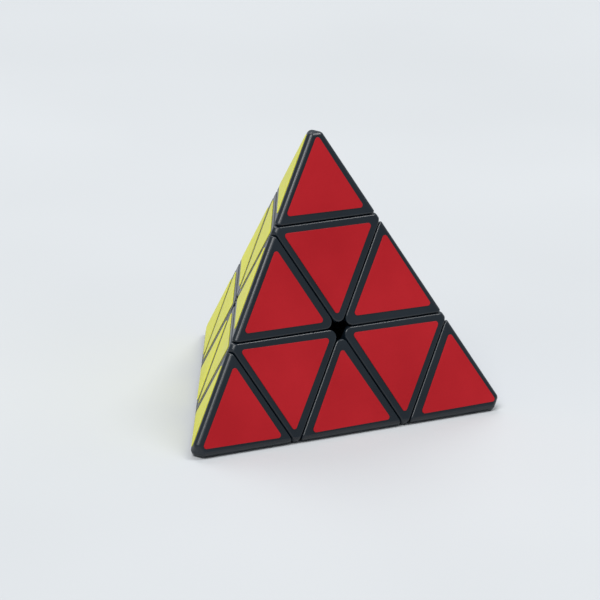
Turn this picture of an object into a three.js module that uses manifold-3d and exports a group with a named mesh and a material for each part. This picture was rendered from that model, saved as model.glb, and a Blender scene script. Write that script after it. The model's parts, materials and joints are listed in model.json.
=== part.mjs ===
// A pyramid twisty puzzle: a tetrahedron of nine small triangles a face, in millimetres, +Z up.
// The origin is the centre of the core ball, where the four turning axes meet.
// Each axis runs from the origin to a corner. Two planes square to it cut the puzzle: the outer one cuts
// off the tip, the inner one cuts off the layer that turns.
import * as THREE from "three";
import { ConvexGeometry } from "three/addons/geometries/ConvexGeometry.js";
import { mergeVertices } from "three/addons/utils/BufferGeometryUtils.js";
import Module from "manifold-3d";

const wasm = await Module();
wasm.setup();

// ---- driving dimensions ----
const HEIGHT = 80; // of the sharp tetrahedron that the pieces are cut from
const GAP = 0.3; // between neighbouring pieces
const OUTER_ROUND = 1.5; // radius along the pyramid's own ridges
const BLUNT_S = 55; // distance from the origin to the blunt end of each tip
const PIECE_ROUND = 0.5; // chamfer along the edges of each piece
const CENTRE_ROUND = 2.2; // radius of the corners that meet at the middle of each face
const RIDGE_CORNER_ROUND = 1.6; // radius of the corners that the axial pieces have on the ridges
const RIDGE_STEPS = 2; // facets across a ridge's round
const CORNER_STEPS = 3; // and across a corner's

const BALL_R = 10.2; // core ball
const FOOT_IN_R = 10.5; // the feet of the edge pieces slide on the ball
const FOOT_OUT_R = 13.35;
const FLANGE_IN_R = 13.65; // the flanges of the axial pieces lie over the feet
const FLANGE_OUT_R = 16.85;
const OUTER_IN_R = 17.15; // the outer bodies of the edge pieces start here
const NECK_OUT_R = 19; // the necks run up into the outer bodies

const FLANGE_ANGLE = 42; // half-angles of cones about the turning axes, in degrees
const NECK_NEAR_ANGLE = 43;
const NECK_FAR_ANGLE = 66;
const FOOT_NEAR_ANGLE = 26.5;
const FOOT_FAR_ANGLE = 83.4;
const FOOT_SIDE_ANGLE = 85;

const SHOULDER_R = 4.4; // core arm, up to the shoulder that the axial piece turns on
const SHOULDER_S = 12.4; // distances from the origin along an axis are named _S
const JOURNAL_R = 3;
const JOURNAL_S = 18.8;
const SCREW_HOLE_R = 1.3;
const SCREW_HOLE_S = 6;
const BORE_R = 3.25;
const COUNTERBORE_R = 4.7;
const COUNTERBORE_S = 19.1;

const SPRING_WIRE_R = 0.4;
const SPRING_R = 3.6;
const SPRING_TURNS = 4;
const SPRING_START_S = 19.7;
const SPRING_END_S = 25;
const SCREW_R = 1.1;
const SCREW_TIP_S = 7;
const SCREW_HEAD_R = 4.1;
const SCREW_HEAD_S = 25.7;
const SCREW_HEAD_HEIGHT = 1.6;
const SCREW_CROWN_R = 3.3;
const SCREW_POINT_R = 0.5;
const SCREW_SOCKET_R = 1.2;
const SCREW_SOCKET_DEPTH = 1;
const STEM_R = 4.4;
const STEM_HOLE_R = 3;
const STEM_END_S = 28;
const STEM_HOLE_END_S = 32.3;

const AXIAL_MARGIN = 1.75; // from a side of a sticker on an axial piece to the cut beside it
const CUT_MARGIN = 2.4; // the same on the other pieces
const RIDGE_MARGIN = 2.8; // from a sticker's side to the sharp ridge beside it
const STICKER_ROUND = 0.75;
const STICKER_THICKNESS = 0.15;
const STICKER_GLUE = 0.02; // film of glue between the sticker and the plastic

const SEGMENTS = 24; // round the balls and cones that shape the pieces
const PIN_SEGMENTS = 16; // round the small turned shapes
const WIRE_SIDES = 5;
const WIRE_STEPS = 10; // to a turn of the spring
const STICKER_SEGMENTS = 2; // to a sixth of a circle

// ---- sizes that follow ----
const CORNER_S = (HEIGHT * 3) / 4;
const FACE_S = HEIGHT / 4; // distance from the origin to each face
const STEP = (HEIGHT * Math.sqrt(1.5)) / 3; // side of each small triangle
const TIP_CUT_S = CORNER_S - HEIGHT / 3;
const LAYER_CUT_S = CORNER_S - (HEIGHT * 2) / 3;
const REACH = 90; // long enough to pass right through the puzzle
const OVERCUT = 1; // how far a cut goes on past the surface that it opens

// The unit axis of a base corner: it leans down by a third of its length, at an angle round from +X.
function baseAxis(degrees) {
  const angle = THREE.MathUtils.degToRad(degrees);
  const spread = Math.sqrt(8) / 3;
  return new THREE.Vector3(spread * Math.cos(angle), spread * Math.sin(angle), -1 / 3);
}
const AXES = {
  apex: new THREE.Vector3(0, 0, 1),
  front_left: baseAxis(210),
  front_right: baseAxis(330),
  rear: baseAxis(90),
};
const CORNERS = Object.keys(AXES);

// Each face is opposite a corner, and has one colour.
const FACE_COLOURS = {
  rear: { name: "red", hex: 0xb5121f },
  front_right: { name: "yellow", hex: 0xe3d81c },
  front_left: { name: "blue", hex: 0x14479e },
  apex: { name: "green", hex: 0x138a3c },
};

// ---- materials ----
const plastic = () => new THREE.MeshStandardMaterial({ color: 0x0d1116, roughness: 0.38, metalness: 0 });
const corePlastic = () => new THREE.MeshStandardMaterial({ color: 0x1b1e22, roughness: 0.5, metalness: 0 });
const steel = () => new THREE.MeshStandardMaterial({ color: 0xb8bcc2, roughness: 0.3, metalness: 1 });
const vinyl = (hex) => new THREE.MeshStandardMaterial({ color: hex, roughness: 0.45, metalness: 0 });

// ---- solids ----
function solid(geometry) {
  const plain = geometry.index ? geometry.toNonIndexed() : geometry.clone();
  plain.deleteAttribute("normal");
  plain.deleteAttribute("uv");
  const merged = mergeVertices(plain, 1e-4);
  return new wasm.Manifold(
    new wasm.Mesh({
      numProp: 3,
      vertProperties: merged.attributes.position.array,
      triVerts: new Uint32Array(merged.index.array),
    }),
  );
}

function geometryOf(made) {
  const mesh = made.getMesh();
  const geometry = new THREE.BufferGeometry();
  geometry.setAttribute("position", new THREE.BufferAttribute(mesh.vertProperties, 3));
  geometry.setIndex(new THREE.BufferAttribute(mesh.triVerts, 1));
  return geometry;
}

// The turn that stands +Z along an axis from the origin.
const alongAxis = (axis) => new THREE.Quaternion().setFromUnitVectors(new THREE.Vector3(0, 0, 1), axis);

// A turned solid about an axis through the origin. Profile points are [radius, distance along the axis].
function turned(points, axis, segments = SEGMENTS) {
  const profile = points.map(([radius, along]) => new THREE.Vector2(radius, along));
  const lathe = new THREE.LatheGeometry(profile, segments);
  lathe.rotateX(Math.PI / 2);
  lathe.applyQuaternion(alongAxis(axis));
  return solid(lathe);
}

const rod = (radius, from, to, axis, segments) =>
  turned([[0, from], [radius, from], [radius, to], [0, to]], axis, segments);

function ball(radius, segments = SEGMENTS) {
  const steps = segments / 2;
  const point = (i) => {
    const angle = (i / steps - 0.5) * Math.PI;
    return [radius * Math.cos(angle), radius * Math.sin(angle)];
  };
  const inner = Array.from({ length: steps - 1 }, (_, i) => point(i + 1));
  return turned([[0, -radius], ...inner, [0, radius]], AXES.apex, segments);
}

// Everything within an angle of an axis, as a cone from the origin that goes on as a cylinder.
function cone(angle, axis) {
  const a = THREE.MathUtils.degToRad(angle);
  const [rim, mouth] = [REACH * Math.sin(a), REACH * Math.cos(a)];
  return turned([[0, 0], [rim, mouth], [rim, REACH], [0, REACH]], axis);
}

// What lies further than angle from an axis.
const outsideCone = (made, angle, axis) => made.subtract(cone(angle, axis));

// Every point where three or more of the planes meet inside all the others, with the planes' normals.
function cornersOf(planes) {
  const found = [];
  const meets = new THREE.Vector3();
  const matrix = new THREE.Matrix3();
  for (let i = 0; i < planes.length; i++)
    for (let j = i + 1; j < planes.length; j++)
      for (let k = j + 1; k < planes.length; k++) {
        const [p, q, r] = [planes[i], planes[j], planes[k]];
        matrix.set(...p.normal.toArray(), ...q.normal.toArray(), ...r.normal.toArray());
        if (Math.abs(matrix.determinant()) < 1e-6) continue;
        meets.set(p.offset, q.offset, r.offset).applyMatrix3(matrix.clone().invert());
        if (planes.some(({ normal, offset }) => normal.dot(meets) > offset + 1e-6)) continue;
        if (found.some(({ point }) => point.distanceTo(meets) < 1e-6)) continue;
        const touching = planes.filter(({ normal, offset }) => normal.dot(meets) > offset - 1e-6);
        found.push({ point: meets.clone(), normals: touching.map(({ normal }) => normal) });
      }
  return found;
}

// Whole numbers that add up to total, one for each of count places.
function sharesOf(total, count) {
  if (count === 1) return [[total]];
  const shares = [];
  for (let first = 0; first <= total; first++)
    for (const rest of sharesOf(total - first, count - 1)) shares.push([first, ...rest]);
  return shares;
}

// The solid between the planes, with every edge and corner rounded. One step makes a chamfer.
function roundedSolid(planes, round, steps) {
  const inset = planes.map(({ normal, offset }) => ({ normal, offset: offset - round }));
  const points = [];
  for (const { point, normals } of cornersOf(inset))
    for (const shares of sharesOf(steps, normals.length)) {
      const out = new THREE.Vector3();
      shares.forEach((share, i) => out.addScaledVector(normals[i], share));
      const at = point.clone().addScaledVector(out.normalize(), round);
      if (points.every((other) => other.distanceTo(at) > 1e-3)) points.push(at);
    }
  return solid(new ConvexGeometry(points));
}

// The planes that a round of this radius between two planes is made of.
function cornerBetween(p, q, radius) {
  const planes = [];
  for (let i = 1; i < CORNER_STEPS; i++) {
    const [a, b] = [i / CORNER_STEPS, 1 - i / CORNER_STEPS];
    const normal = p.normal.clone().multiplyScalar(a).addScaledVector(q.normal, b);
    const centre = (a * (p.offset - radius) + b * (q.offset - radius)) / normal.length();
    planes.push({ normal: normal.normalize(), offset: centre + radius });
  }
  return planes;
}

// Planes square to a corner's axis: a face is behind its opposite corner, a cut in front of or behind it.
const plane = (corner, sign, s) => ({ normal: AXES[corner].clone().multiplyScalar(sign), offset: sign * s });
const faceOpposite = (corner) => plane(corner, -1, -FACE_S + GAP / 2);
const outerFaces = (except = []) => CORNERS.filter((c) => !except.includes(c)).map(faceOpposite);
const bluntEnds = CORNERS.map((corner) => plane(corner, 1, BLUNT_S));
const wholePyramid = roundedSolid([...outerFaces(), ...bluntEnds], OUTER_ROUND, RIDGE_STEPS);
const outerPiece = (planes) => roundedSolid(planes, PIECE_ROUND, 1).intersect(wholePyramid);

// ---- the pieces ----
function core() {
  let made = ball(BALL_R, PIN_SEGMENTS);
  for (const axis of Object.values(AXES)) {
    made = made.add(rod(SHOULDER_R, 0, SHOULDER_S, axis, PIN_SEGMENTS));
    made = made.add(rod(JOURNAL_R, 0, JOURNAL_S, axis, PIN_SEGMENTS));
  }
  for (const axis of Object.values(AXES))
    made = made.subtract(rod(SCREW_HOLE_R, SCREW_HOLE_S, JOURNAL_S + OVERCUT, axis, PIN_SEGMENTS));
  return made;
}

function axialPiece(corner) {
  const axis = AXES[corner];
  const others = CORNERS.filter((other) => other !== corner);
  const top = plane(corner, 1, TIP_CUT_S - GAP / 2);
  const bottom = plane(corner, -1, LAYER_CUT_S + GAP / 2);
  const sides = others.map((other) => plane(other, 1, LAYER_CUT_S - GAP / 2));
  const planes = [top, bottom, ...sides, ...others.map(faceOpposite)];
  sides.forEach((side, i) => {
    planes.push(...cornerBetween(side, sides[(i + 1) % sides.length], CENTRE_ROUND));
    planes.push(...cornerBetween(side, top, RIDGE_CORNER_ROUND));
  });
  const outer = outerPiece(planes).subtract(ball(FLANGE_OUT_R - GAP));
  const flange = ball(FLANGE_OUT_R + GAP).subtract(ball(FLANGE_IN_R)).intersect(cone(FLANGE_ANGLE, axis));
  return outer
    .add(flange)
    .subtract(rod(BORE_R, SHOULDER_S, COUNTERBORE_S + OVERCUT, axis, PIN_SEGMENTS))
    .subtract(rod(COUNTERBORE_R, COUNTERBORE_S, TIP_CUT_S + OVERCUT, axis, PIN_SEGMENTS));
}

function edgePiece(a, b) {
  const [c, d] = CORNERS.filter((corner) => corner !== a && corner !== b);
  const cuts = [a, b].map((corner) => plane(corner, -1, LAYER_CUT_S + GAP / 2));
  const planes = [...cuts, ...cornerBetween(...cuts, CENTRE_ROUND), faceOpposite(c), faceOpposite(d)];
  const outer = outerPiece(planes).subtract(ball(OUTER_IN_R));
  const between = (inner, near, far) => {
    let made = inner.intersect(cone(far, AXES[a])).intersect(cone(far, AXES[b]));
    for (const corner of [a, b]) made = outsideCone(made, near, AXES[corner]);
    for (const corner of [c, d]) made = outsideCone(made, FOOT_SIDE_ANGLE, AXES[corner]);
    return made;
  };
  const neckShell = ball(NECK_OUT_R).subtract(ball(FOOT_OUT_R - OVERCUT));
  const neck = between(neckShell, NECK_NEAR_ANGLE, NECK_FAR_ANGLE);
  const foot = between(ball(FOOT_OUT_R).subtract(ball(FOOT_IN_R)), FOOT_NEAR_ANGLE, FOOT_FAR_ANGLE);
  return outer.add(neck).add(foot);
}

function tip(corner) {
  const axis = AXES[corner];
  const planes = [
    plane(corner, -1, TIP_CUT_S + GAP / 2),
    ...CORNERS.filter((other) => other !== corner).map(faceOpposite),
  ];
  return outerPiece(planes)
    .add(rod(STEM_R, STEM_END_S, TIP_CUT_S + PIECE_ROUND, axis, PIN_SEGMENTS))
    .subtract(rod(STEM_HOLE_R, STEM_END_S - OVERCUT, STEM_HOLE_END_S, axis, PIN_SEGMENTS));
}

function screw(corner) {
  const top = SCREW_HEAD_S + SCREW_HEAD_HEIGHT;
  const profile = [
    [0, SCREW_TIP_S],
    [SCREW_POINT_R, SCREW_TIP_S],
    [SCREW_R, SCREW_TIP_S + SCREW_R],
    [SCREW_R, SCREW_HEAD_S],
    [SCREW_HEAD_R, SCREW_HEAD_S],
    [SCREW_HEAD_R, SCREW_HEAD_S + SCREW_HEAD_HEIGHT / 2],
    [SCREW_CROWN_R, top],
    [SCREW_SOCKET_R, top],
    [SCREW_SOCKET_R, top - SCREW_SOCKET_DEPTH],
    [0, top - SCREW_SOCKET_DEPTH],
  ];
  return turned(profile, AXES[corner], PIN_SEGMENTS);
}

class Helix extends THREE.Curve {
  getPoint(t, target = new THREE.Vector3()) {
    const angle = t * SPRING_TURNS * Math.PI * 2;
    const along = THREE.MathUtils.lerp(SPRING_START_S, SPRING_END_S, t);
    return target.set(SPRING_R * Math.cos(angle), SPRING_R * Math.sin(angle), along);
  }
}

function spring(corner) {
  const section = new THREE.Shape();
  for (let i = 0; i < WIRE_SIDES; i++) {
    const angle = (i / WIRE_SIDES) * Math.PI * 2;
    const [x, y] = [SPRING_WIRE_R * Math.cos(angle), SPRING_WIRE_R * Math.sin(angle)];
    if (i) section.lineTo(x, y);
    else section.moveTo(x, y);
  }
  const steps = SPRING_TURNS * WIRE_STEPS;
  const wire = new THREE.ExtrudeGeometry(section, { steps, extrudePath: new Helix() });
  wire.applyQuaternion(alongAxis(AXES[corner]));
  return solid(wire);
}

// A triangle with rounded corners that lies on a small triangle of a face, from its three sharp corners.
// Each margin is kept from the side opposite the corner of the same index.
function sticker(corners, margins, outward) {
  const height = STEP * Math.cos(Math.PI / 6);
  const ownHeight = height - margins[0] - margins[1] - margins[2];
  const centre = new THREE.Vector3();
  corners.forEach((corner, i) => centre.addScaledVector(corner, (margins[i] + ownHeight / 3) / height));
  const up = corners[0].clone().sub(corners[1]).add(corners[0]).sub(corners[2]);
  const arcCentre = (ownHeight * 2) / 3 - STICKER_ROUND * 2;
  const shape = new THREE.Shape();
  for (let i = 0; i < 3; i++) {
    const angle = Math.PI / 2 + (i * Math.PI * 2) / 3;
    const [x, y] = [arcCentre * Math.cos(angle), arcCentre * Math.sin(angle)];
    shape.absarc(x, y, STICKER_ROUND, angle - Math.PI / 3, angle + Math.PI / 3, false);
  }
  const options = { depth: STICKER_THICKNESS, bevelEnabled: false, curveSegments: STICKER_SEGMENTS };
  const sheet = new THREE.ExtrudeGeometry(shape, options);
  const yAxis = up.normalize();
  const place = new THREE.Matrix4().makeBasis(new THREE.Vector3().crossVectors(yAxis, outward), yAxis, outward);
  const lift = FACE_S - GAP / 2 + STICKER_GLUE - centre.dot(outward);
  place.setPosition(centre.addScaledVector(outward, lift));
  return solid(sheet.applyMatrix4(place));
}

// A point of a face, from how much of each corner is in it.
function mix(shares) {
  const point = new THREE.Vector3();
  for (const [corner, share] of Object.entries(shares)) point.addScaledVector(AXES[corner], share * CORNER_S);
  return point;
}

// ---- the puzzle ----
const puzzle = new THREE.Group();

function addPiece(name, made, material) {
  const mesh = new THREE.Mesh(geometryOf(made), material);
  mesh.name = name;
  puzzle.add(mesh);
}

// The stickers of one piece, one on each face that it shows. triangleOn gives the small triangle's corners.
function addStickers(piece, shownFaces, margins, triangleOn) {
  for (const opposite of shownFaces) {
    const { name, hex } = FACE_COLOURS[opposite];
    const outward = AXES[opposite].clone().negate();
    addPiece(`sticker_${piece}_${name}`, sticker(triangleOn(opposite), margins, outward), vinyl(hex));
  }
}

addPiece("core", core(), corePlastic());

for (const corner of CORNERS) {
  const others = CORNERS.filter((other) => other !== corner);
  addPiece(`screw_${corner}`, screw(corner), steel());
  addPiece(`spring_${corner}`, spring(corner), steel());
  addPiece(`axial_${corner}`, axialPiece(corner), plastic());
  addPiece(`tip_${corner}`, tip(corner), plastic());
  addStickers(`tip_${corner}`, others, [CUT_MARGIN, RIDGE_MARGIN, RIDGE_MARGIN], (opposite) => {
    const [p, q] = others.filter((other) => other !== opposite);
    return [mix({ [corner]: 1 }), mix({ [corner]: 2 / 3, [p]: 1 / 3 }), mix({ [corner]: 2 / 3, [q]: 1 / 3 })];
  });
  addStickers(`axial_${corner}`, others, [AXIAL_MARGIN, AXIAL_MARGIN, AXIAL_MARGIN], (opposite) => {
    const [p, q] = others.filter((other) => other !== opposite);
    return [
      mix({ [corner]: 1 / 3, [p]: 1 / 3, [q]: 1 / 3 }),
      mix({ [corner]: 2 / 3, [p]: 1 / 3 }),
      mix({ [corner]: 2 / 3, [q]: 1 / 3 }),
    ];
  });
}

CORNERS.forEach((a, i) => {
  for (const b of CORNERS.slice(i + 1)) {
    addPiece(`edge_${a}_${b}`, edgePiece(a, b), plastic());
    const shown = CORNERS.filter((corner) => corner !== a && corner !== b);
    addStickers(`edge_${a}_${b}`, shown, [RIDGE_MARGIN, CUT_MARGIN, CUT_MARGIN], (opposite) => {
      const third = shown.find((corner) => corner !== opposite);
      return [
        mix({ [a]: 1 / 3, [b]: 1 / 3, [third]: 1 / 3 }),
        mix({ [a]: 2 / 3, [b]: 1 / 3 }),
        mix({ [a]: 1 / 3, [b]: 2 / 3 }),
      ];
    });
  }
});

export default puzzle;
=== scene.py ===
"""A pyramid twisty puzzle: black plastic pieces with rounded edges, and vinyl stickers, built around the
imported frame. Every length is in metres, and every piece is made where the frame says it is."""

import json
import math
import random

import bmesh
import bpy
from mathutils import Matrix, Vector


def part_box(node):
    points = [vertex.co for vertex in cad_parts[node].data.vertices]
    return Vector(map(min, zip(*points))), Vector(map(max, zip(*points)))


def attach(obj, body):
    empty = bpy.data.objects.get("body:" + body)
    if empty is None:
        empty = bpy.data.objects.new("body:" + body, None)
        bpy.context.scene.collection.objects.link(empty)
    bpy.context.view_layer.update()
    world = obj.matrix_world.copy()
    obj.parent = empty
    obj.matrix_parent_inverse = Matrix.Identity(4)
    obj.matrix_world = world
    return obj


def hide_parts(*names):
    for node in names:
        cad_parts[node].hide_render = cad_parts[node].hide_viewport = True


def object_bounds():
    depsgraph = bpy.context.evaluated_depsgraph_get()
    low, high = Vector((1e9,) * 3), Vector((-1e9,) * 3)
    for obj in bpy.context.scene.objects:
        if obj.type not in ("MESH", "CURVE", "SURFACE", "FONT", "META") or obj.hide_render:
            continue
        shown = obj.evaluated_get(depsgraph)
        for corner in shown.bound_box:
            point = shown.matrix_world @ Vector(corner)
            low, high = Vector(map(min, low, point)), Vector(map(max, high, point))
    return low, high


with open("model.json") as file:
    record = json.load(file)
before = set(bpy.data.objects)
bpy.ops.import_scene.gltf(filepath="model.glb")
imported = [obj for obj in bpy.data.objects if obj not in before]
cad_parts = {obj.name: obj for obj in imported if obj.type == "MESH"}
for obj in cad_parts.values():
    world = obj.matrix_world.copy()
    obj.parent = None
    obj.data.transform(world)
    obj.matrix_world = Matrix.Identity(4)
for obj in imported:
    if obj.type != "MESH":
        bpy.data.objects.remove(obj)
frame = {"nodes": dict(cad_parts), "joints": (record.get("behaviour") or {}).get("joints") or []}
cad_low, cad_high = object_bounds()

MM = 0.001

# ---- the frame's own sizes ----
CORNERS = ["apex", "front_left", "front_right", "rear"]
FACE_COLOURS = {"rear": "red", "front_right": "yellow", "front_left": "blue", "apex": "green"}
turns = {joint["name"]: Vector(joint["axis"]).normalized() for joint in frame["joints"]}
AXES = {corner: turns[f"layer_{corner}_turn"] for corner in CORNERS}

GAP = 0.3 * MM  # between neighbouring pieces of the frame
SLIVER = 0.003 * MM  # faces thinner than this are merged away
plastic_face_s = -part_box("edge_front_left_front_right")[0].z
sticker_top_s = -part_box("sticker_edge_front_left_front_right_green")[0].z
FACE_S = plastic_face_s + GAP / 2
CORNER_S = FACE_S * 3
STEP = FACE_S * 4 * math.sqrt(1.5) / 3
TIP_CUT_S = FACE_S * 5 / 3
LAYER_CUT_S = FACE_S / 3

SEAM = 0.16 * MM  # between neighbouring pieces here, which fit closer than the frame's
OUTER_ROUND = 1.5 * MM  # radius along the pyramid's own ridges
BLUNT_S = 55 * MM  # distance from the origin to the blunt end of each tip
PIECE_ROUND = 0.5 * MM  # radius along the cut edges of each piece
CENTRE_ROUND = 2.2 * MM  # radius of the corners that meet at the middle of each face
RIDGE_CORNER_ROUND = 1.6 * MM  # radius of the corners that the axial pieces have on the ridges
CORNER_STEPS = 9
FACET_ANGLE = math.radians(9)  # the most that one facet of a round turns by
SHARP_ANGLE = math.radians(32)  # edges that turn by more stay sharp

# ---- inside, as on the frame ----
FOOT_IN_R = 10.5 * MM
FOOT_OUT_R = 13.35 * MM
FLANGE_IN_R = 13.65 * MM
FLANGE_OUT_R = 16.85 * MM
OUTER_IN_R = 17.15 * MM
NECK_OUT_R = 19 * MM
FLANGE_ANGLE = 42  # half-angles of cones about the turning axes, in degrees
NECK_NEAR_ANGLE = 43
NECK_FAR_ANGLE = 66
FOOT_NEAR_ANGLE = 26.5
FOOT_FAR_ANGLE = 83.4
FOOT_SIDE_ANGLE = 85
BORE_R = 3.25 * MM
COUNTERBORE_R = 4.7 * MM
COUNTERBORE_S = 19.1 * MM
STEM_R = 4.4 * MM
STEM_HOLE_R = 3 * MM
STEM_END_S = 28 * MM
STEM_HOLE_END_S = 32.3 * MM
REACH = 90 * MM  # long enough to pass right through the puzzle
OVERCUT = 1 * MM  # how far a cut goes on past the surface that it opens
ROUND_SEGMENTS = 64

# ---- stickers ----
AXIAL_MARGIN = 1.75 * MM  # from a side of a sticker on an axial piece to the cut beside it
CUT_MARGIN = 2.4 * MM  # the same on the other pieces
RIDGE_MARGIN = 2.8 * MM  # from a sticker's side to the sharp ridge beside it
STICKER_ROUND = 0.75 * MM
STICKER_GLUE = 0.02 * MM
STICKER_SOFTENING = 0.05 * MM
STICKER_DRIFT = 0.3 * MM  # how far off its place a sticker lies, at most, each way
STICKER_TWIST = math.radians(0.8)
STICKER_ARC_STEPS = 8

rng = random.Random(7)


# ---- mesh helpers ----
def new_object(name, mesh):
    made = bpy.data.objects.new(name, mesh)
    bpy.context.scene.collection.objects.link(made)
    return made


def mesh_from(bm, name):
    mesh = bpy.data.meshes.new(name)
    bmesh.ops.recalc_face_normals(bm, faces=bm.faces)
    bm.to_mesh(mesh)
    bm.free()
    return mesh


def hull_of(points):
    """A convex solid around the points, with its flat faces whole."""
    bm = bmesh.new()
    for point in points:
        bm.verts.new(point)
    bmesh.ops.remove_doubles(bm, verts=bm.verts, dist=2e-6)
    result = bmesh.ops.convex_hull(bm, input=bm.verts)
    loose = {item for key in ("geom_interior", "geom_unused") for item in result[key]}
    bmesh.ops.delete(bm, geom=[v for v in loose if isinstance(v, bmesh.types.BMVert)], context="VERTS")
    bmesh.ops.dissolve_limit(bm, angle_limit=math.radians(0.15), verts=bm.verts, edges=bm.edges)
    bm.normal_update()
    return bm


def shares_of(total, count):
    """Whole numbers that add up to total, one for each of count places."""
    if count == 1:
        return [(total,)]
    return [(first, *rest) for first in range(total + 1)
            for rest in shares_of(total - first, count - 1)]


def between(normals, steps):
    """Directions spread evenly between the normals."""
    found = []
    for shares in shares_of(steps, len(normals)):
        found.append(sum((n * s for n, s in zip(normals, shares)), Vector()).normalized())
    return found


def grown(bm, radius):
    """The points of a convex solid grown by radius, which turns its edges and corners into rounds."""
    points = []
    for vertex in bm.verts:
        normals = [face.normal.copy() for face in vertex.link_faces]
        widest = max(a.angle(b, 0) for a in normals for b in normals)
        steps = max(1, math.ceil(widest / FACET_ANGLE))
        points += [vertex.co + direction * radius for direction in between(normals, steps)]
    return points


def plane(corner, sign, s):
    """A plane square to a corner's axis, as its outward normal and its distance from the origin."""
    return AXES[corner] * sign, sign * s


def corner_between(p, q, radius):
    """The planes that a round of this radius between two planes is made of."""
    planes = []
    for i in range(1, CORNER_STEPS):
        a, b = i / CORNER_STEPS, 1 - i / CORNER_STEPS
        normal = p[0] * a + q[0] * b
        centre = (a * (p[1] - radius) + b * (q[1] - radius)) / normal.length
        planes.append((normal.normalized(), centre + radius))
    return planes


def cut_down(bm, planes, inset):
    """What is left of a convex solid behind the planes, each moved in by inset."""
    for normal, offset in planes:
        everything = bm.verts[:] + bm.edges[:] + bm.faces[:]
        bmesh.ops.bisect_plane(bm, geom=everything, dist=1e-7, plane_co=normal * (offset - inset),
                               plane_no=normal, clear_outer=True)
    made = hull_of([v.co.copy() for v in bm.verts])
    bm.free()
    return made


def outer_piece(planes):
    """The rounded outside of a piece: the whole pyramid between the planes, with its cut edges rounded."""
    sharp = hull_of([axis * (plastic_face_s - OUTER_ROUND) * 3 for axis in AXES.values()])
    blunt = cut_down(sharp, [plane(corner, 1, BLUNT_S) for corner in CORNERS], OUTER_ROUND)
    rounded = hull_of(grown(blunt, OUTER_ROUND - PIECE_ROUND))
    blunt.free()
    inner = cut_down(rounded, planes, PIECE_ROUND)
    made = hull_of(grown(inner, PIECE_ROUND))
    inner.free()
    return mesh_from(made, "outside")


def turned(points, axis, segments=ROUND_SEGMENTS):
    """A turned solid about an axis through the origin. Points are (radius, distance along the axis)."""
    bm = bmesh.new()
    rings = []
    for radius, along in points:
        if radius < 1e-9:
            rings.append([bm.verts.new((0, 0, along))])
            continue
        angles = [i / segments * math.tau for i in range(segments)]
        rings.append([bm.verts.new((radius * math.cos(a), radius * math.sin(a), along)) for a in angles])
    for low, high in zip(rings, rings[1:]):
        for i in range(segments):
            j = (i + 1) % segments
            corners = [low[i % len(low)], low[j % len(low)], high[j % len(high)], high[i % len(high)]]
            unique = list(dict.fromkeys(corners))
            if len(unique) > 2:
                bm.faces.new(unique)
    bmesh.ops.transform(bm, matrix=Vector((0, 0, 1)).rotation_difference(axis).to_matrix(), verts=bm.verts)
    return mesh_from(bm, "turned")


def rod(radius, low, high, axis, segments=ROUND_SEGMENTS):
    return turned([(0, low), (radius, low), (radius, high), (0, high)], axis, segments)


def ball(radius):
    steps = ROUND_SEGMENTS // 2
    angles = [(i / steps - 0.5) * math.pi for i in range(steps + 1)]
    points = [(radius * math.cos(a), radius * math.sin(a)) for a in angles]
    points[0], points[-1] = (0, -radius), (0, radius)
    return turned(points, AXES["apex"])


def cone(angle, axis):
    """Everything within an angle of an axis, as a cone from the origin that goes on as a cylinder."""
    a = math.radians(angle)
    rim, mouth = REACH * math.sin(a), REACH * math.cos(a)
    return turned([(0, 0), (rim, mouth), (rim, REACH), (0, REACH)], axis, ROUND_SEGMENTS * 2)


def combined(mesh, tool, operation):
    """mesh joined with, cut by or kept inside tool."""
    base, other = new_object("base", mesh), new_object("tool", tool)
    boolean = base.modifiers.new("boolean", "BOOLEAN")
    boolean.solver = "MANIFOLD"
    boolean.operation = operation
    boolean.object = other
    evaluated = base.evaluated_get(bpy.context.evaluated_depsgraph_get())
    made = bpy.data.meshes.new_from_object(evaluated)
    for spent in (base, other):
        bpy.data.objects.remove(spent)
    return made


def less(mesh, *tools):
    for tool in tools:
        mesh = combined(mesh, tool, "DIFFERENCE")
    return mesh


def inside(mesh, *tools):
    for tool in tools:
        mesh = combined(mesh, tool, "INTERSECT")
    return mesh


def plus(mesh, *tools):
    for tool in tools:
        mesh = combined(mesh, tool, "UNION")
    return mesh


def without_slivers(mesh):
    """The mesh without the needle-thin faces that cuts leave beside each other."""
    bm = bmesh.new()
    bm.from_mesh(mesh)
    bmesh.ops.remove_doubles(bm, verts=bm.verts, dist=SLIVER)
    bmesh.ops.dissolve_degenerate(bm, edges=bm.edges, dist=SLIVER)
    loose = [edge for edge in bm.edges if edge.is_wire]
    bmesh.ops.delete(bm, geom=loose, context="EDGES")
    bm.to_mesh(mesh)
    bm.free()
    return mesh


def finished(mesh, name, material):
    """A piece with smooth rounds, flat faces and sharp edges."""
    mesh.shade_smooth()
    mesh.set_sharp_from_angle(angle=SHARP_ANGLE)
    made = new_object(name, mesh)
    made.data.materials.clear()
    made.data.materials.append(material)
    weighted = made.modifiers.new("weighted_normals", "WEIGHTED_NORMAL")
    weighted.keep_sharp = True
    return made


def turn_onto(first, second):
    """The turn that takes the apex to the first corner and front_left to the second, without mirroring."""
    rest = [corner for corner in CORNERS if corner not in (first, second)]
    home = [AXES[corner] for corner in CORNERS[:3]]
    for third in rest:
        to = [AXES[corner] for corner in (first, second, third)]
        turn = Matrix(to).transposed() @ Matrix(home).transposed().inverted()
        if turn.determinant() > 0:
            return turn.to_4x4()


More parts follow.
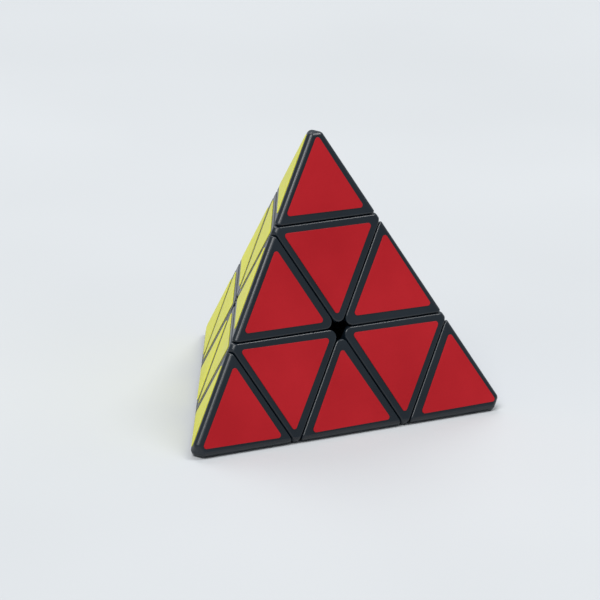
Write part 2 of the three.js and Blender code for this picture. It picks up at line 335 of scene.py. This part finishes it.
# ---- materials ----
class Shader:
    """A material with a Principled shader, and short ways to add nodes to it."""

    def __init__(self, name):
        self.material = bpy.data.materials.new(name)
        self.material.use_nodes = True
        self.nodes = self.material.node_tree.nodes
        self.links = self.material.node_tree.links
        self.surface = self.nodes["Principled BSDF"]
        self.place = self.nodes.new("ShaderNodeTexCoord").outputs["Object"]

    def link(self, output, target):
        self.links.new(output, target)

    def noise(self, scale, detail=2.0, stretch=None, rough=0.5):
        node = self.nodes.new("ShaderNodeTexNoise")
        node.inputs["Scale"].default_value = scale
        node.inputs["Detail"].default_value = detail
        node.inputs["Roughness"].default_value = rough
        source = self.place
        if stretch:
            mapping = self.nodes.new("ShaderNodeMapping")
            mapping.inputs["Rotation"].default_value = stretch[0]
            mapping.inputs["Scale"].default_value = stretch[1]
            self.link(source, mapping.inputs["Vector"])
            source = mapping.outputs["Vector"]
        self.link(source, node.inputs["Vector"])
        return node.outputs["Fac"]

    def ramp(self, value, low, high, stops):
        """value between low and high, mapped to the first and last of stops: colours, or numbers."""
        node = self.nodes.new("ShaderNodeMapRange")
        node.inputs["From Min"].default_value = low
        node.inputs["From Max"].default_value = high
        self.link(value, node.inputs["Value"])
        if not hasattr(stops[0], "__len__"):
            node.inputs["To Min"].default_value, node.inputs["To Max"].default_value = stops
            return node.outputs["Result"]
        mix = self.nodes.new("ShaderNodeMix")
        mix.data_type = "RGBA"
        self.link(node.outputs["Result"], mix.inputs["Factor"])
        mix.inputs["A"].default_value = (*stops[0], 1)
        mix.inputs["B"].default_value = (*stops[1], 1)
        return mix.outputs["Result"]

    def math(self, operation, a, b):
        node = self.nodes.new("ShaderNodeMath")
        node.operation = operation
        for value, socket in zip((a, b), node.inputs):
            if isinstance(value, (int, float)):
                socket.default_value = value
            else:
                self.link(value, socket)
        return node.outputs["Value"]

    def bump(self, height, strength, distance, below=None):
        node = self.nodes.new("ShaderNodeBump")
        node.inputs["Strength"].default_value = strength
        node.inputs["Distance"].default_value = distance
        self.link(height, node.inputs["Height"])
        if below:
            self.link(below, node.inputs["Normal"])
        return node.outputs["Normal"]


def moulded_plastic(name, dark, light, roughness):
    """Injection-moulded plastic: a fine grain, slow changes in gloss, and hairline handling marks."""
    shader = Shader(name)
    slow = shader.noise(60, 3)
    grain = shader.noise(2600, 2)
    orange_peel = shader.noise(520, 1)
    marks = shader.noise(90, 2, ((0.5, 0.3, 0.9), (1, 40, 1)), 0.7)
    other_marks = shader.noise(80, 2, ((1.1, 0.2, 2.4), (1, 46, 1)), 0.7)
    scratches = shader.math("MAXIMUM", marks, other_marks)
    shader.link(shader.ramp(slow, 0.3, 0.7, (dark, light)), shader.surface.inputs["Base Color"])
    gloss = shader.ramp(slow, 0.35, 0.65, (roughness - 0.05, roughness + 0.05))
    scuffed = shader.math("ADD", gloss, shader.ramp(scratches, 0.66, 0.8, (0.0, 0.1)))
    shader.link(scuffed, shader.surface.inputs["Roughness"])
    shader.surface.inputs["Specular IOR Level"].default_value = 0.5
    smooth = shader.bump(orange_peel, 0.12, 0.02 * MM)
    fine = shader.bump(grain, 0.18, 0.01 * MM, smooth)
    shader.link(shader.bump(scratches, 0.05, 0.01 * MM, fine), shader.surface.inputs["Normal"])
    return shader.material


def vinyl(name, colour):
    """Sticker vinyl: a satin film with a faint orange peel and slight unevenness in its colour."""
    shader = Shader(name)
    cloud = shader.noise(45, 3)
    speck = shader.noise(1900, 2)
    peel = shader.noise(420, 2)
    tone = shader.math("ADD", cloud, shader.math("MULTIPLY", speck, 0.25))
    darker = tuple(c * 0.9 for c in colour)
    lighter = tuple(min(1, c * 1.07 + 0.002) for c in colour)
    shader.link(shader.ramp(tone, 0.4, 0.85, (darker, lighter)), shader.surface.inputs["Base Color"])
    shader.link(shader.ramp(cloud, 0.3, 0.7, (0.38, 0.48)), shader.surface.inputs["Roughness"])
    shader.surface.inputs["Specular IOR Level"].default_value = 0.3
    smooth = shader.bump(peel, 0.2, 0.02 * MM)
    shader.link(shader.bump(speck, 0.08, 0.008 * MM, smooth), shader.surface.inputs["Normal"])
    return shader.material


def drawn_steel(name):
    """Zinc-plated steel, with the fine lines of turning and drawing."""
    shader = Shader(name)
    slow = shader.noise(200, 2)
    lines = shader.noise(900, 2, ((0.4, 0.2, 0.1), (1, 1, 8)))
    tones = ((0.42, 0.43, 0.45), (0.6, 0.6, 0.61))
    shader.link(shader.ramp(slow, 0.3, 0.7, tones), shader.surface.inputs["Base Color"])
    shader.surface.inputs["Metallic"].default_value = 1
    shader.link(shader.ramp(lines, 0.3, 0.7, (0.24, 0.4)), shader.surface.inputs["Roughness"])
    shader.link(shader.bump(lines, 0.15, 0.01 * MM), shader.surface.inputs["Normal"])
    return shader.material


black = moulded_plastic("black_plastic", (0.0030, 0.0068, 0.0115), (0.0050, 0.0100, 0.0160), 0.32)
core_black = moulded_plastic("core_plastic", (0.022, 0.024, 0.027), (0.034, 0.036, 0.04), 0.48)
steel = drawn_steel("steel")
VINYL = {
    "red": vinyl("red_vinyl", (0.42, 0.003, 0.009)),
    "yellow": vinyl("yellow_vinyl", (0.66, 0.64, 0.03)),
    "blue": vinyl("blue_vinyl", (0.008, 0.07, 0.36)),
    "green": vinyl("green_vinyl", (0.008, 0.27, 0.06)),
}


# ---- plastic pieces ----
def tip_mesh():
    outside = outer_piece([plane("apex", -1, TIP_CUT_S + SEAM / 2)])
    stem = rod(STEM_R, STEM_END_S, TIP_CUT_S + PIECE_ROUND, AXES["apex"])
    hole = rod(STEM_HOLE_R, STEM_END_S - OVERCUT, STEM_HOLE_END_S, AXES["apex"])
    return less(plus(outside, stem), hole)


def axial_mesh():
    top, bottom = plane("apex", 1, TIP_CUT_S - SEAM / 2), plane("apex", -1, LAYER_CUT_S + SEAM / 2)
    sides = [plane(corner, 1, LAYER_CUT_S - SEAM / 2) for corner in CORNERS[1:]]
    planes = [top, bottom, *sides]
    for i, side in enumerate(sides):
        planes += corner_between(side, sides[i - 1], CENTRE_ROUND)
        planes += corner_between(side, top, RIDGE_CORNER_ROUND)
    outside = less(outer_piece(planes), ball(FLANGE_OUT_R - GAP))
    flange = inside(less(ball(FLANGE_OUT_R + GAP), ball(FLANGE_IN_R)), cone(FLANGE_ANGLE, AXES["apex"]))
    bore = rod(BORE_R, FLANGE_IN_R - OVERCUT, COUNTERBORE_S + OVERCUT, AXES["apex"])
    counterbore = rod(COUNTERBORE_R, COUNTERBORE_S, TIP_CUT_S + OVERCUT, AXES["apex"])
    return less(plus(outside, flange), bore, counterbore)


def edge_mesh():
    near, far = ["apex", "front_left"], ["front_right", "rear"]
    cuts = [plane(corner, -1, LAYER_CUT_S + SEAM / 2) for corner in near]
    outside = outer_piece(cuts + corner_between(*cuts, CENTRE_ROUND))

    def wedge(shell, near_angle, far_angle):
        made = inside(shell, *(cone(far_angle, AXES[corner]) for corner in near))
        made = less(made, *(cone(near_angle, AXES[corner]) for corner in near))
        return less(made, *(cone(FOOT_SIDE_ANGLE, AXES[corner]) for corner in far))

    neck = wedge(less(ball(NECK_OUT_R), ball(FOOT_OUT_R - OVERCUT)), NECK_NEAR_ANGLE, NECK_FAR_ANGLE)
    foot = wedge(less(ball(FOOT_OUT_R), ball(FOOT_IN_R)), FOOT_NEAR_ANGLE, FOOT_FAR_ANGLE)
    return plus(less(outside, ball(OUTER_IN_R)), neck, foot)


def place_piece(mesh, turn, node):
    copy = mesh.copy()
    copy.transform(turn)
    piece = finished(copy, node + "_moulding", black)
    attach(piece, node)
    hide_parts(node)


tip_shape = without_slivers(tip_mesh())
axial_shape = without_slivers(axial_mesh())
edge_shape = without_slivers(edge_mesh())
for corner in CORNERS:
    onto = turn_onto(corner, next(other for other in CORNERS if other != corner))
    place_piece(tip_shape, onto, "tip_" + corner)
    place_piece(axial_shape, onto, "axial_" + corner)
for i, first in enumerate(CORNERS):
    for second in CORNERS[i + 1:]:
        place_piece(edge_shape, turn_onto(first, second), f"edge_{first}_{second}")


# ---- stickers ----
def sticker_mesh(corners, margins, outward):
    """A film with rounded corners on a small triangle. Each margin is from the side opposite its corner."""
    height = STEP * math.cos(math.pi / 6)
    own_height = height - sum(margins)
    centre = sum((c * ((m + own_height / 3) / height) for c, m in zip(corners, margins)), Vector())
    up = (corners[0] * 2 - corners[1] - corners[2]).normalized()
    right = up.cross(outward)
    up = Matrix.Rotation(rng.uniform(-1, 1) * STICKER_TWIST, 3, outward) @ up
    right = up.cross(outward)
    centre += (up * rng.uniform(-1, 1) + right * rng.uniform(-1, 1)) * STICKER_DRIFT
    centre += outward * (plastic_face_s + STICKER_GLUE - centre.dot(outward))
    thickness = sticker_top_s - plastic_face_s - STICKER_GLUE
    arc_centre = own_height * 2 / 3 - STICKER_ROUND * 2

    def ring(shrink, lift):
        points = []
        for i in range(3):
            middle = math.pi / 2 + i * math.tau / 3
            for k in range(STICKER_ARC_STEPS + 1):
                a = middle + (k / STICKER_ARC_STEPS - 0.5) * math.tau / 3
                x = arc_centre * math.cos(middle) + (STICKER_ROUND - shrink) * math.cos(a)
                y = arc_centre * math.sin(middle) + (STICKER_ROUND - shrink) * math.sin(a)
                points.append(centre + right * x + up * y + outward * lift)
        return points

    bm = bmesh.new()
    soft = STICKER_SOFTENING
    profile = [(0, 0), (0, thickness - soft)]
    profile += [(soft * (1 - math.cos(a)), thickness - soft * (1 - math.sin(a)))
                for a in (math.pi / 6, math.pi / 3, math.pi / 2)]
    rings = [[bm.verts.new(p) for p in ring(*step)] for step in profile]
    for low, high in zip(rings, rings[1:]):
        for i in range(len(low)):
            j = (i + 1) % len(low)
            bm.faces.new([low[i], low[j], high[j], high[i]])
    bm.faces.new(rings[-1])
    bm.faces.new(list(reversed(rings[0])))
    return mesh_from(bm, "sticker")


def thirds(*corners):
    """A point of a face, from the corner that each third of it comes from."""
    return sum((AXES[corner] * CORNER_S / 3 for corner in corners), Vector())


def place_stickers(piece, shown, margins, triangle_on):
    for opposite in shown:
        colour = FACE_COLOURS[opposite]
        mesh = sticker_mesh(triangle_on(opposite), margins, -AXES[opposite])
        film = finished(mesh, f"film_{piece}_{colour}", VINYL[colour])
        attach(film, piece)
        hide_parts(f"sticker_{piece}_{colour}")


for corner in CORNERS:
    others = [other for other in CORNERS if other != corner]

    def tip_triangle(opposite):
        p, q = [other for other in others if other != opposite]
        return thirds(corner, corner, corner), thirds(corner, corner, p), thirds(corner, corner, q)

    def axial_triangle(opposite):
        p, q = [other for other in others if other != opposite]
        return thirds(corner, p, q), thirds(corner, corner, p), thirds(corner, corner, q)

    place_stickers("tip_" + corner, others, [CUT_MARGIN, RIDGE_MARGIN, RIDGE_MARGIN], tip_triangle)
    place_stickers("axial_" + corner, others, [AXIAL_MARGIN] * 3, axial_triangle)

for i, first in enumerate(CORNERS):
    for second in CORNERS[i + 1:]:
        shown = [corner for corner in CORNERS if corner not in (first, second)]

        def edge_triangle(opposite):
            other = next(corner for corner in shown if corner != opposite)
            return thirds(first, second, other), thirds(first, first, second), thirds(first, second, second)

        margins = [RIDGE_MARGIN, CUT_MARGIN, CUT_MARGIN]
        place_stickers(f"edge_{first}_{second}", shown, margins, edge_triangle)


# ---- inside ----
def finish_node(name, material):
    node = frame["nodes"][name]
    node.data.materials.clear()
    node.data.materials.append(material)


finish_node("core", core_black)
for corner in CORNERS:
    finish_node("screw_" + corner, steel)
    finish_node("spring_" + corner, steel)


# ---- studio ----
def studio():
    floor_mesh = bpy.data.meshes.new("floor")
    half = 4.0
    corners = [(-half, -half, 0), (half, -half, 0), (half, half, 0), (-half, half, 0)]
    floor_mesh.from_pydata(corners, [], [(0, 1, 2, 3)])
    floor = new_object("floor", floor_mesh)
    floor.location.z = cad_low.z
    paper = Shader("pale_paper")
    tone = paper.ramp(paper.noise(6, 2), 0.3, 0.7, ((0.49, 0.50, 0.51), (0.52, 0.53, 0.54)))
    paper.link(tone, paper.surface.inputs["Base Color"])
    paper.surface.inputs["Roughness"].default_value = 0.85
    floor.data.materials.append(paper.material)

    world = bpy.data.worlds.new("studio")
    bpy.context.scene.world = world
    world.use_nodes = True
    background = world.node_tree.nodes["Background"]
    background.inputs["Color"].default_value = (0.84, 0.93, 1, 1)
    background.inputs["Strength"].default_value = 0.42
    bpy.context.scene.view_settings.view_transform = "Standard"

    for name, azimuth, elevation, width, strength in (
        ("key", -62, 58, 31, 2.3),
        ("fill", 86, 62, 20, 1.2),
        ("back", 170, 50, 30, 0.8),
    ):
        light = bpy.data.lights.new(name, "SUN")
        light.angle = math.radians(width)
        light.energy = strength
        lamp = new_object(name, light)
        lamp.rotation_mode = "QUATERNION"
        lamp.rotation_quaternion = (-direction_from(azimuth, elevation)).to_track_quat("-Z", "Y")


def direction_from(azimuth, elevation):
    """From the object to somewhere round it. Azimuth 0 is in front, at -Y, and 90 is at +X."""
    a, e = math.radians(azimuth), math.radians(elevation)
    return Vector((math.sin(a) * math.cos(e), -math.cos(a) * math.cos(e), math.sin(e)))


def camera():
    """A long lens, at the height and side that the puzzle is seen from."""
    distance, field_width, sensor = 1.0, 159.15 * MM, 36.0
    azimuth, elevation, roll = -29.8, 20.15, 2.8
    off_right, off_up = -1.19 * MM, 7.65 * MM
    away = direction_from(azimuth, elevation)
    turn = (-away).to_track_quat("-Z", "Y").to_matrix() @ Matrix.Rotation(math.radians(roll), 3, "Z")
    target = turn @ Vector((off_right, off_up, 0))
    data = bpy.data.cameras.new("camera")
    data.sensor_width = sensor
    data.lens = sensor * distance / field_width
    made = bpy.data.objects.new("camera", data)
    bpy.context.scene.collection.objects.link(made)
    made.location = target + away * distance
    made.rotation_mode = "QUATERNION"
    made.rotation_quaternion = turn.to_quaternion()
    bpy.context.scene.camera = made


studio()
camera()
